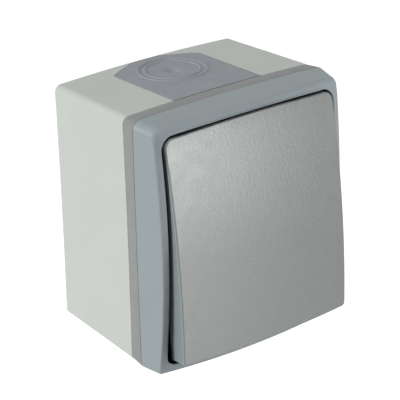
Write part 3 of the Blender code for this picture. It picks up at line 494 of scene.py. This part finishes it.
class Surface:
    """A Principled material whose colour, roughness and relief come from noise in object space."""

    # Nearly all of a noise texture's values lie between these two
    NOISE_LOW = 0.3
    NOISE_HIGH = 0.7

    def __init__(self, name, colour, roughness, metallic=0.0, specular=0.5):
        self.material = bpy.data.materials.new(name)
        self.material.use_nodes = True
        self.tree = self.material.node_tree
        self.shader = self.tree.nodes["Principled BSDF"]
        self.shader.inputs["Base Color"].default_value = colour
        self.shader.inputs["Roughness"].default_value = roughness
        self.shader.inputs["Metallic"].default_value = metallic
        self.shader.inputs["Specular IOR Level"].default_value = specular
        self.material.diffuse_color = colour
        self.colour = colour
        self.roughness = roughness
        self.place = self.node("ShaderNodeTexCoord").outputs["Object"]

    def node(self, kind):
        return self.tree.nodes.new(kind)

    def link(self, source, target):
        self.tree.links.new(source, target)

    def noise(self, size, detail=2, stretch=(1, 1, 1)):
        """Noise whose grains measure about size metres, longer where stretch is above 1."""
        mapping = self.node("ShaderNodeMapping")
        mapping.inputs["Scale"].default_value = [1 / (size * factor) for factor in stretch]
        self.link(self.place, mapping.inputs["Vector"])
        texture = self.node("ShaderNodeTexNoise")
        texture.inputs["Scale"].default_value = 1.0
        texture.inputs["Detail"].default_value = detail
        self.link(mapping.outputs["Vector"], texture.inputs["Vector"])
        return texture.outputs["Fac"]

    def spread(self, source, low, high):
        """Maps noise to the range from low to high."""
        ranged = self.node("ShaderNodeMapRange")
        ranged.inputs["From Min"].default_value = self.NOISE_LOW
        ranged.inputs["From Max"].default_value = self.NOISE_HIGH
        ranged.inputs["To Min"].default_value = low
        ranged.inputs["To Max"].default_value = high
        self.link(source, ranged.inputs["Value"])
        return ranged.outputs["Result"]

    def tint(self, source, low, high):
        """Varies the colour from low times to high times itself."""
        mix = self.node("ShaderNodeMix")
        mix.data_type = "RGBA"
        mix.inputs["A"].default_value = [low * c for c in self.colour[:3]] + [1.0]
        mix.inputs["B"].default_value = [high * c for c in self.colour[:3]] + [1.0]
        self.link(self.spread(source, 0.0, 1.0), mix.inputs["Factor"])
        self.link(mix.outputs["Result"], self.shader.inputs["Base Color"])

    def vary_roughness(self, source, by):
        """Varies the roughness by up to the given amount, both ways."""
        ranged = self.spread(source, self.roughness - by, self.roughness + by)
        self.link(ranged, self.shader.inputs["Roughness"])

    def bump(self, source, height):
        """Gives the surface the noise as relief, up to a height."""
        node = self.node("ShaderNodeBump")
        node.inputs["Distance"].default_value = height
        self.link(source, node.inputs["Height"])
        self.link(node.outputs["Normal"], self.shader.inputs["Normal"])


def plastic(name, colour, roughness, specular=0.5):
    """Moulded plastic with a spark-eroded texture and faint flow marks."""
    made = Surface(name, colour, roughness, specular=specular)
    made.tint(made.noise(size=0.012, detail=3), low=0.98, high=1.02)
    made.vary_roughness(made.noise(size=0.006), by=0.04)
    made.bump(made.noise(size=0.00045, detail=3), height=0.000018)
    return made.material


def rubber(name, colour, roughness=0.7):
    """Soft rubber with a dull, slightly cloudy skin."""
    made = Surface(name, colour, roughness, specular=0.35)
    made.tint(made.noise(size=0.005, detail=4), low=0.96, high=1.04)
    made.vary_roughness(made.noise(size=0.002), by=0.05)
    made.bump(made.noise(size=0.0005, detail=3), height=0.000015)
    return made.material


def metal(name, colour, roughness=0.32):
    """Sheet metal with fine drawing lines along Z."""
    made = Surface(name, colour, roughness, metallic=1.0)
    made.tint(made.noise(size=0.004, detail=4), low=0.93, high=1.03)
    made.vary_roughness(made.noise(size=0.0015, detail=3), by=0.07)
    made.bump(made.noise(size=0.00012, stretch=(1, 1, 12)), height=0.000004)
    return made.material


def silver_lacquer():
    """Metallic lacquer over a leather-like grain, with fine flakes."""
    made = Surface("silver_lacquer", linear(126, 129, 127), 0.35, metallic=0.5)
    made.tint(made.noise(size=0.00025, detail=1), low=0.93, high=1.07)
    made.vary_roughness(made.noise(size=0.004), by=0.03)
    made.bump(made.noise(size=0.0008, detail=1), height=0.00004)
    return made.material


BOX_PLASTIC = plastic("box_plastic", linear(200, 206, 199), 0.52)
FRAME_PLASTIC = plastic("frame_plastic", linear(157, 167, 170), 0.45, specular=0.3)
# Painted shade: the frame's blue-grey plastic made darker for the rocker's skirt, which stands
# partly shaded beside the gap
SHADED_SKIRT_PLASTIC = plastic("skirt_plastic_painted_shade", linear(132, 141, 142), 0.45, specular=0.3)
MEMBRANE_RUBBER = rubber("membrane_rubber", linear(155, 159, 164), 0.62)
GASKET_RUBBER = rubber("gasket_rubber", linear(145, 147, 146), 0.66)
BLACK_RUBBER = rubber("black_rubber", linear(26, 26, 28))
# Painted shade: near black for the frame's well and the foot of the rocker's skirt, where shade
# falls in the narrow gap
WELL_PAINTED_SHADE = plastic("well_painted_shade", linear(9, 9, 10), 0.8, specular=0.1)
CARRIER_PLASTIC = plastic("carrier_plastic", linear(118, 126, 130), 0.5)
MECHANISM_WHITE = plastic("mechanism_white", linear(226, 224, 216), 0.45)
MECHANISM_GREY = plastic("mechanism_grey", linear(86, 89, 92), 0.45)
STEEL = metal("zinc_plated_steel", linear(196, 198, 201))
BRASS = metal("brass", linear(212, 178, 112))
COPPER = metal("copper_alloy", linear(208, 140, 104))
CONTACT_SILVER = metal("contact_silver", linear(222, 222, 224), 0.25)
LACQUER = silver_lacquer()

# The finish of each CAD node that no piece replaces
NODE_FINISHES = (
    (BLACK_RUBBER, (*GROMMETS, "rocker_seal")),
    (STEEL, (*FRAME_SCREWS, *PLATE_SCREWS, "mounting_plate", "plunger_spring")),
    (STEEL, ("terminal_clamp_1", "terminal_clamp_2", "terminal_clamp_3")),
    (STEEL, ("terminal_screw_1", "terminal_screw_2", "terminal_screw_3")),
    (BRASS, ("common_terminal", "switched_terminal_1", "switched_terminal_2")),
    (CONTACT_SILVER, ("fixed_contact_1", "fixed_contact_2")),
    (CONTACT_SILVER, ("moving_contact_1", "moving_contact_2")),
    (COPPER, ("contact_lever",)),
    (MECHANISM_WHITE, ("mechanism_base",)),
    (MECHANISM_GREY, ("mechanism_cover", "plunger")),
    (CARRIER_PLASTIC, ("rocker_carrier",)),
)


def dress_nodes():
    for material, names in NODE_FINISHES:
        for name in names:
            for slot in frame["nodes"][name].material_slots:
                slot.material = material


# The back box


def entry_half_width(depth, clearance=0.0):
    """Half the cable entry's width at a depth, with rounded shoulders."""
    full = ENTRY_WIDTH / 2 - clearance
    slope = (ENTRY_WIDTH - ENTRY_BACK_FLAT) / 2 / ENTRY_CHAMFER
    slanted = ENTRY_BACK_FLAT / 2 + slope * (depth - ENTRY_BACK - clearance)
    lap = max(ENTRY_SHOULDER - abs(slanted - full), 0)
    return min(slanted, full) - lap**2 / (4 * ENTRY_SHOULDER)


def entry_depths(start, end, count):
    """Depths along the entry, half of them on its slanted back and round its shoulders."""
    shoulder = ENTRY_BACK + ENTRY_FINE_PART
    half = count // 2
    depths = [start + (shoulder - start) * i / half for i in range(half)]
    rest = count - half
    return depths + [shoulder + (end - shoulder) * i / rest for i in range(rest + 1)]


def add_entry_cut(bm, side):
    """The hole for a membrane, right through the top wall (side 1) or the bottom wall (-1)."""
    inner = BACK.half_height - BOX_WALL
    outer = BODY.half_height + 2 * END_BOW
    depths = entry_depths(ENTRY_BACK, TONGUE_FRONT + BOX_WALL, ENTRY_CUT_ROWS)
    right = [(entry_half_width(depth), depth) for depth in depths]
    outline = right + [(-x, depth) for x, depth in reversed(right)]
    rings = []
    for z in (inner, outer):
        rings.append([Vector((ENTRY_OFFSET + x, -depth, side * z)) for x, depth in outline])
    add_loft(bm, in_one(rings))


def axis_of(name):
    """The line to the front through the middle of a CAD node."""
    low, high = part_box(name)
    return facing_front((low.x + high.x) / 2, (low.z + high.z) / 2)


def bosses():
    """The axis and the front depth of the screw bosses: two tall ones, then two short ones."""
    plate_back = -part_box("mounting_plate")[1].y
    tall = [(axis_of(name), TONGUE_FRONT) for name in FRAME_SCREWS]
    return tall + [(axis_of(name), plate_back - GAP) for name in PLATE_SCREWS]


def make_box():
    # A front's rounded edge serves the back too, with its depths negated
    back_edge = edge_loops(BACK, lambda depth: flat(-depth), 0, BACK_EDGE)
    rings = back_edge[::-1] + [
        loop(RIM, flat(BOX_DEPTH - RIM_EDGE)),
        loop(RIM.inset(RIM_EDGE), flat(BOX_DEPTH)),
        loop(TONGUE, flat(BOX_DEPTH)),
        loop(TONGUE, flat(TONGUE_FRONT - RIM_EDGE)),
        loop(TONGUE.inset(RIM_EDGE), flat(TONGUE_FRONT)),
        loop(RIM.inset(BOX_WALL), flat(TONGUE_FRONT)),
        loop(BACK.inset(BOX_WALL), flat(BACK_WALL)),
    ]
    bm = bmesh.new()
    add_loft(bm, in_one(rings))
    shell = new_object("box_shell", bm, [BOX_PLASTIC])
    posts = bmesh.new()
    for axis, front in bosses():
        add_rod(posts, axis, BOSS_RADIUS, BACK_WALL / 2, front)
    combine(shell, "UNION", posts)
    cuts = bmesh.new()
    for side in (1, -1):
        add_entry_cut(cuts, side)
    for axis, front in bosses():
        add_rod(cuts, axis, SCREW_HOLE, front - BOSS_HOLE_DEPTH, front + BACK_WALL)
    for name in GROMMETS:
        add_rod(cuts, axis_of(name), FIXING_RADIUS, -BACK_WALL, 2 * BACK_WALL)
    combine(shell, "DIFFERENCE", cuts)
    finish_piece(shell, "housing", "back_box")


# The cable entry membranes


def wall_height(x, depth):
    """How far from the middle the top wall's outer face lies."""
    share = depth / BOX_DEPTH
    half_width = BACK.half_width + share * BOX_TAPER_WIDTH
    half_height = BACK.half_height + share * BOX_TAPER_HEIGHT
    return half_height + END_BOW * (1 - (x / half_width) ** 2)


def dimple_at(x, depth):
    """How deep the dimple in the membrane's middle is."""
    distance = math.hypot(x - ENTRY_OFFSET, depth - ENTRY_CENTRE)
    return DIMPLE_DEPTH * math.exp(-((distance / DIMPLE_RADIUS) ** 2))


def add_entry_plate(bm, side):
    """The plate's outer face as a fine grid, with rounded edges, and its flat inner side."""
    start = ENTRY_BACK + ENTRY_JOINT
    end = BOX_DEPTH - ENTRY_JOINT
    rows = []
    for depth in entry_depths(start, end, ENTRY_ROWS):
        half = entry_half_width(depth, ENTRY_JOINT)
        row = []
        for column in range(ENTRY_COLUMNS + 1):
            share = 2 * column / ENTRY_COLUMNS - 1
            across = half * math.sin(math.radians(90) * share)
            x = ENTRY_OFFSET + across
            to_edge = min(half - abs(across), depth - start)
            lap = max(ENTRY_EDGE - to_edge, 0)
            drop = ENTRY_EDGE - math.sqrt(ENTRY_EDGE**2 - lap**2)
            z = wall_height(x, depth) - drop - dimple_at(x, depth)
            row.append(bm.verts.new((x, -depth, side * z)))
        rows.append(row)
    for row, following in zip(rows, rows[1:]):
        for i in range(ENTRY_COLUMNS):
            bm.faces.new((row[i], row[i + 1], following[i + 1], following[i]))
    left = [row[0] for row in rows]
    right = [row[-1] for row in rows]
    border = rows[0] + right[1:] + rows[-1][-2::-1] + left[-2:0:-1]
    inner = BODY_HALF_HEIGHT - BOX_STEP - ENTRY_THICKNESS
    lower = [bm.verts.new((vert.co.x, vert.co.y, side * inner)) for vert in border]
    for i, vert in enumerate(border):
        j = (i + 1) % len(border)
        bm.faces.new((vert, border[j], lower[j], lower[i]))
    bm.faces.new(lower)


def add_entry_ring(bm, radius, side):
    """A thin raised line that follows the wall's curve."""
    rings = []
    for step in range(RING_PROFILE_STEPS + 1):
        across = 2 * step / RING_PROFILE_STEPS - 1
        reach = radius + across * RING_HALF_WIDTH
        height = RING_HEIGHT * math.cos(math.radians(90) * across) - RING_SINK
        ring = []
        for i in range(RING_STEPS):
            angle = 2 * math.pi * i / RING_STEPS
            x = ENTRY_OFFSET + reach * math.cos(angle)
            depth = ENTRY_CENTRE + reach * math.sin(angle)
            ring.append(Vector((x, -depth, side * (wall_height(x, depth) + height))))
        rings.append(ring)
    add_loft(bm, in_one(rings), closed=True)


def make_membrane(name, side, node):
    """The membrane in the top wall (side 1) or in the bottom wall (-1)."""
    bm = bmesh.new()
    add_entry_plate(bm, side)
    for radius in RING_RADII:
        add_entry_ring(bm, radius, side)
    pad = new_object(name, bm, [MEMBRANE_RUBBER])
    finish_piece(pad, "housing", node, angle=SOFT_ANGLE_DEG)


# The gasket and the frame


def make_gasket():
    """The ring that widens from the box to the frame, with a fine joint line at both."""
    inner = TONGUE.inset(-JOINT_LINE)
    back = BOX_DEPTH + JOINT_LINE
    front = FRAME_REAR - JOINT_LINE
    rings = [
        loop(inner, flat(front)),
        loop(inner, flat(back)),
        loop(RIM.inset(GASKET_EDGE), flat(back)),
        loop(RIM.inset(GASKET_CHAMFER), flat(back + GASKET_CHAMFER)),
        loop(RIM, flat(back + GASKET_EDGE)),
        loop(BODY, flat(front - GASKET_CHAMFER)),
        loop(BODY.inset(GASKET_CHAMFER), flat(front)),
    ]
    bm = bmesh.new()
    add_loft(bm, in_one(rings), closed=True)
    band = new_object("gasket_band", bm, [GASKET_RUBBER])
    finish_piece(band, "housing", "box_gasket", angle=SOFT_ANGLE_DEG)


def on_top(point):
    """1 along the top of the frame, 0 down its sides, and in between round its corners."""
    return ramp(point.z, CREASE.half_height - 2 * TOP_CORNER, CREASE.half_height)


def crease_loops():
    """The turn from the frame's side to its front: crisp at the sides, soft along the top."""
    crisp = edge_loops(CREASE, frame_crown, CREASE_DEPTH + CREASE_RISE, CREASE_EDGE)
    soft = edge_loops(CREASE, frame_crown, CREASE_DEPTH + CREASE_RISE_TOP, CREASE_EDGE_TOP)
    return [mix_loops(a, b, on_top) for a, b in zip(crisp, soft)]


def low_down(point):
    """0 in the upper half of the opening's sides, growing downwards to 1, and 0 in the corners."""
    above_corner = point.z + OPENING.half_height - OPENING.bottom_radius
    down = min(ramp(point.z, *LOW_RAMP_DOWN), ramp(above_corner, *LOW_RAMP_CORNER))
    return down * ramp(abs(point.x) / OPENING.half_width, *LOW_RAMP_OUT)


def well_rim(x):
    """How far the well's wall keeps the frame's colour: deepest at the right, where it is lit,
    while below it the wall is painted near black as shade.
    """
    return OPENING_EDGE + WELL_RIM * ramp(x / OPENING.half_width, *WELL_RAMP_RIGHT)


def opening_loops():
    """The turn from the front into the well: crisp at the top, and softer down the sides."""
    turns = []
    low = replace(OPENING.inset(LOW_INSET, 0), right_inset=0)
    for outline, edge, rise in ((OPENING, OPENING_EDGE, BORDER_RISE), (low, LOW_EDGE, LOW_RISE)):
        turn = edge_loops(outline, frame_crown, CREASE_DEPTH + rise, edge, rising=False)
        top = frame_crown(CREASE_DEPTH + rise - edge)
        turns.append(turn + [loop(outline, lambda x, z: top(x, z) - well_rim(x))])
    return [mix_loops(a, b, low_down) for a, b in zip(*turns)]


def make_frame():
    # The second finish is painted shade: the well's floor, its wall below well_rim, the lugs and
    # the holes are near black
    grey, painted_shade = range(2)
    outside = [
        loop(TONGUE, flat(FLOOR_BACK)),
        loop(TONGUE, flat(FRAME_REAR)),
        loop(BODY.inset(RIM_EDGE), flat(FRAME_REAR)),
        loop(BODY, flat(FRAME_REAR + RIM_EDGE)),
        *crease_loops(),
        *opening_loops(),
    ]
    floor = loop(OPENING.inset(WELL_DRAFT), flat(FLOOR_FRONT))
    bm = bmesh.new()
    add_loft(bm, in_one(outside, grey) + in_one([floor], painted_shade))
    bezel = new_object("frame_bezel", bm, [FRAME_PLASTIC, WELL_PAINTED_SHADE])
    lug_inner = CARRIER_HALF_WIDTH + GAP
    lug_depth = (FLOOR_FRONT - FLOOR_THICKNESS / 2, ROCKER_PIVOT + LUG_OVER_PIN)
    lugs = bmesh.new()
    for side in (1, -1):
        span = (side * lug_inner, side * (lug_inner + LUG_THICKNESS))
        add_block(lugs, span, lug_depth, (-LUG_HEIGHT / 2, LUG_HEIGHT / 2))
    for face in lugs.faces:
        face.material_index = painted_shade
    combine(bezel, "UNION", lugs)
    cuts = bmesh.new()
    through = (FLOOR_BACK - FLOOR_THICKNESS, FLOOR_FRONT + FLOOR_THICKNESS)
    add_rod(cuts, facing_front(0, 0), WINDOW_RADIUS, *through, slot=painted_shade)
    for name in FRAME_SCREWS:
        add_rod(cuts, axis_of(name), SCREW_HOLE, *through, slot=painted_shade)
    pins = Matrix.Translation((0, -ROCKER_PIVOT, 0)) @ Matrix.Rotation(math.radians(90), 4, "Y")
    reach = lug_inner + 2 * LUG_THICKNESS
    add_rod(cuts, pins, PIN_HOLE, -reach, reach, slot=painted_shade)
    combine(bezel, "DIFFERENCE", cuts)
    finish_piece(bezel, "housing", "front_frame")


# The rocker


CEILING = rocker_crown(ROCKER_RIM - ROCKER_SKIN)


def cap_bands():
    """The level cap's loops and finishes, from inside its ceiling round the skirt to its face,
    with a painted highlight line and a painted shade line on its edge and painted shade on the
    skirt's foot.
    """
    skirt, silver, painted_highlight, painted_shade = range(4)
    bottom = FLOOR_FRONT + SKIRT_CLEARANCE + SKIRT.half_height * math.sin(ROCKER_TILT)
    inside = SKIRT.inset(ROCKER_WALL)
    ceiling = [loop(inside.scaled(share), CEILING) for share in CEILING_SHARES]
    ends = [loop(part.inset(SKIRT_DRAFT, -SKIRT_FLARE), flat(bottom)) for part in (inside, SKIRT)]
    foot = SKIRT.inset(SKIRT_FOOT_SHARE * SKIRT_DRAFT, -SKIRT_FOOT_SHARE * SKIRT_FLARE)
    edge = edge_loops(SKIRT, rocker_crown, ROCKER_RIM, ROCKER_EDGE)
    shares = [FACE_RIM_SHARE] + [1 - step / FACE_STEPS for step in range(1, FACE_STEPS)]
    face = [loop(FACE.scaled(share), rocker_crown(ROCKER_RIM)) for share in shares]
    return (
        in_one(ceiling + ends, skirt)
        # Painted shade: the skirt's lowest band, deep in the gap, is coloured near black
        + in_one([loop(foot, flat(bottom + SKIRT_FOOT))], painted_shade)
        + in_one(edge[:1], skirt)
        # Painted highlight: a band of the rounded edge in the frame's lighter plastic, where the
        # edge catches the light
        + in_one(edge[1:PAINTED_HIGHLIGHT_END], painted_highlight)
        # Painted shade: a dark line in the skirt's plastic between the highlight and the silver,
        # where a groove's shadow would fall
        + in_one(edge[PAINTED_HIGHLIGHT_END:PAINTED_SHADE_LINE_END], skirt)
        + in_one(edge[PAINTED_SHADE_LINE_END:] + face, silver)
    )


def cap_holders():
    """The back depth and the two heights of the pad on the carrier, and of a rail at each end."""
    half = CARRIER_HEIGHT / 2
    pad_back = CEILING(CARRIER_HALF_WIDTH, half) - GAP
    yield pad_back, -half, half
    for side in (1, -1):
        inner = half + GAP
        yield pad_back - GAP - CARRIER_PLATE, side * inner, side * (inner + CARRIER_RAIL)


def make_rocker():
    """The cap in its level position, then tilted as far as it is at rest."""
    bm = bmesh.new()
    add_loft(bm, cap_bands())
    cap = new_object("rocker_cap", bm, [SHADED_SKIRT_PLASTIC, LACQUER, FRAME_PLASTIC, WELL_PAINTED_SHADE])
    width = (-CARRIER_HALF_WIDTH, CARRIER_HALF_WIDTH)
    for back, low, high in cap_holders():
        holder = bmesh.new()
        add_block(holder, width, (back, CEILING(0, 0) + GAP), (low, high))
        combine(cap, "UNION", holder)
    pivot = Vector((0, -ROCKER_PIVOT, 0))
    tilt = Matrix.Rotation(-ROCKER_TILT, 4, "X")
    cap.data.transform(Matrix.Translation(pivot) @ tilt @ Matrix.Translation(-pivot))
    finish_piece(cap, "rocker_unit", "rocker")


# The studio


def make_camera():
    """The photograph's camera: its place, its two angles, its roll and its lens."""
    azimuth = math.radians(CAMERA_AZIMUTH_DEG)
    elevation = math.radians(CAMERA_ELEVATION_DEG)
    roll = math.radians(CAMERA_ROLL_DEG)
    back = Vector((
        math.sin(azimuth) * math.cos(elevation),
        -math.cos(azimuth) * math.cos(elevation),
        math.sin(elevation),
    ))
    level = Vector((0, 0, 1)).cross(back).normalized()
    up = back.cross(level)
    right = math.cos(roll) * level + math.sin(roll) * up
    up = math.cos(roll) * up - math.sin(roll) * level
    data = bpy.data.cameras.new("camera")
    data.lens = CAMERA_LENS_MM
    data.sensor_width = SENSOR_WIDTH_MM
    data.clip_start = CAMERA_CLIP_START
    camera = bpy.data.objects.new("camera", data)
    turn = Matrix((right, up, back)).transposed()
    camera.matrix_world = Matrix.Translation(CAMERA_PLACE) @ turn.to_4x4()
    bpy.context.scene.collection.objects.link(camera)
    bpy.context.scene.camera = camera


@dataclass(frozen=True)
class Lamp:
    """A soft light that looks at the switch from an azimuth and elevation in degrees."""

    name: str
    azimuth: float
    elevation: float
    distance: float
    size: tuple
    power: float

    def add(self):
        data = bpy.data.lights.new(self.name, "AREA")
        data.shape = "ELLIPSE"
        data.size, data.size_y = self.size
        data.energy = self.power
        turn, rise = math.radians(self.azimuth), math.radians(self.elevation)
        across = math.cos(rise)
        towards = Vector((math.sin(turn) * across, -math.cos(turn) * across, math.sin(rise)))
        lamp = bpy.data.objects.new(self.name, data)
        lamp.location = MIDDLE + self.distance * towards
        lamp.rotation_euler = towards.to_track_quat("Z", "Y").to_euler()
        bpy.context.scene.collection.objects.link(lamp)


LAMPS = (
    Lamp("left_lamp", azimuth=-107, elevation=15, distance=1.2, size=(0.5, 0.5), power=10.1),
    Lamp("top_lamp", azimuth=8, elevation=66, distance=1.2, size=(0.5, 0.5), power=5.7),
    Lamp("right_lamp", azimuth=62, elevation=5, distance=1.0, size=(0.4, 0.5), power=0.8),
    Lamp("shine_lamp", azimuth=21, elevation=3, distance=0.28, size=(0.09, 0.14), power=0.19),
    Lamp("low_lamp", azimuth=20, elevation=-25, distance=0.28, size=(0.08, 0.16), power=0.058),
)


def seen_directly(tree):
    """1 for a ray from the camera, a mirror or glass, and 0 for one that lights the object."""
    path = tree.nodes.new("ShaderNodeLightPath")
    seen = path.outputs["Is Camera Ray"]
    for name in ("Is Glossy Ray", "Is Transmission Ray"):
        either = tree.nodes.new("ShaderNodeMath")
        either.operation = "MAXIMUM"
        tree.links.new(seen, either.inputs[0])
        tree.links.new(path.outputs[name], either.inputs[1])
        seen = either.outputs[0]
    return seen


def background(tree, strength):
    node = tree.nodes.new("ShaderNodeBackground")
    node.inputs["Color"].default_value = WHITE
    node.inputs["Strength"].default_value = strength
    return node.outputs["Background"]


def make_world():
    """A world that lights the object softly and is plain white where it is seen."""
    world = bpy.data.worlds.new("studio")
    world.use_nodes = True
    tree = world.node_tree
    tree.nodes.clear()
    mix = tree.nodes.new("ShaderNodeMixShader")
    output = tree.nodes.new("ShaderNodeOutputWorld")
    tree.links.new(seen_directly(tree), mix.inputs["Fac"])
    tree.links.new(background(tree, WORLD_LIGHT), mix.inputs[1])
    tree.links.new(background(tree, 1), mix.inputs[2])
    tree.links.new(mix.outputs["Shader"], output.inputs["Surface"])
    bpy.context.scene.world = world


def make_floor():
    """A pale floor well below the switch, which hangs on a wall that isn't shown."""
    bm = bmesh.new()
    bmesh.ops.create_circle(bm, cap_ends=True, radius=FLOOR_RADIUS, segments=FLOOR_SEGMENTS)
    made = bpy.data.materials.new("floor_white")
    made.use_nodes = True
    tree = made.node_tree
    tree.nodes.clear()
    paint = tree.nodes.new("ShaderNodeBsdfDiffuse")
    paint.inputs["Color"].default_value = FLOOR_COLOUR
    glow = tree.nodes.new("ShaderNodeEmission")
    glow.inputs["Color"].default_value = WHITE
    both = tree.nodes.new("ShaderNodeAddShader")
    share = tree.nodes.new("ShaderNodeMath")
    share.operation = "MULTIPLY"
    share.inputs[1].default_value = FLOOR_GLOW
    output = tree.nodes.new("ShaderNodeOutputMaterial")
    tree.links.new(seen_directly(tree), share.inputs[0])
    tree.links.new(share.outputs[0], glow.inputs["Strength"])
    tree.links.new(paint.outputs["BSDF"], both.inputs[0])
    tree.links.new(glow.outputs["Emission"], both.inputs[1])
    tree.links.new(both.outputs["Shader"], output.inputs["Surface"])
    floor = new_object("floor", bm, [made])
    floor.location.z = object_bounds()[0].z - FLOOR_DROP
    floor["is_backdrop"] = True


def make_studio():
    make_camera()
    make_world()
    for lamp in LAMPS:
        lamp.add()
    make_floor()
    bpy.context.scene.view_settings.view_transform = "Standard"


dress_nodes()
make_box()
make_membrane("top_entry_pad", 1, "top_entry_membrane")
make_membrane("bottom_entry_pad", -1, "bottom_entry_membrane")
make_gasket()
make_frame()
make_rocker()
make_studio()

boxes = {"cad": cad_box, "visual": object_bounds()}
{name: [list(corner) for corner in pair] for name, pair in boxes.items()}
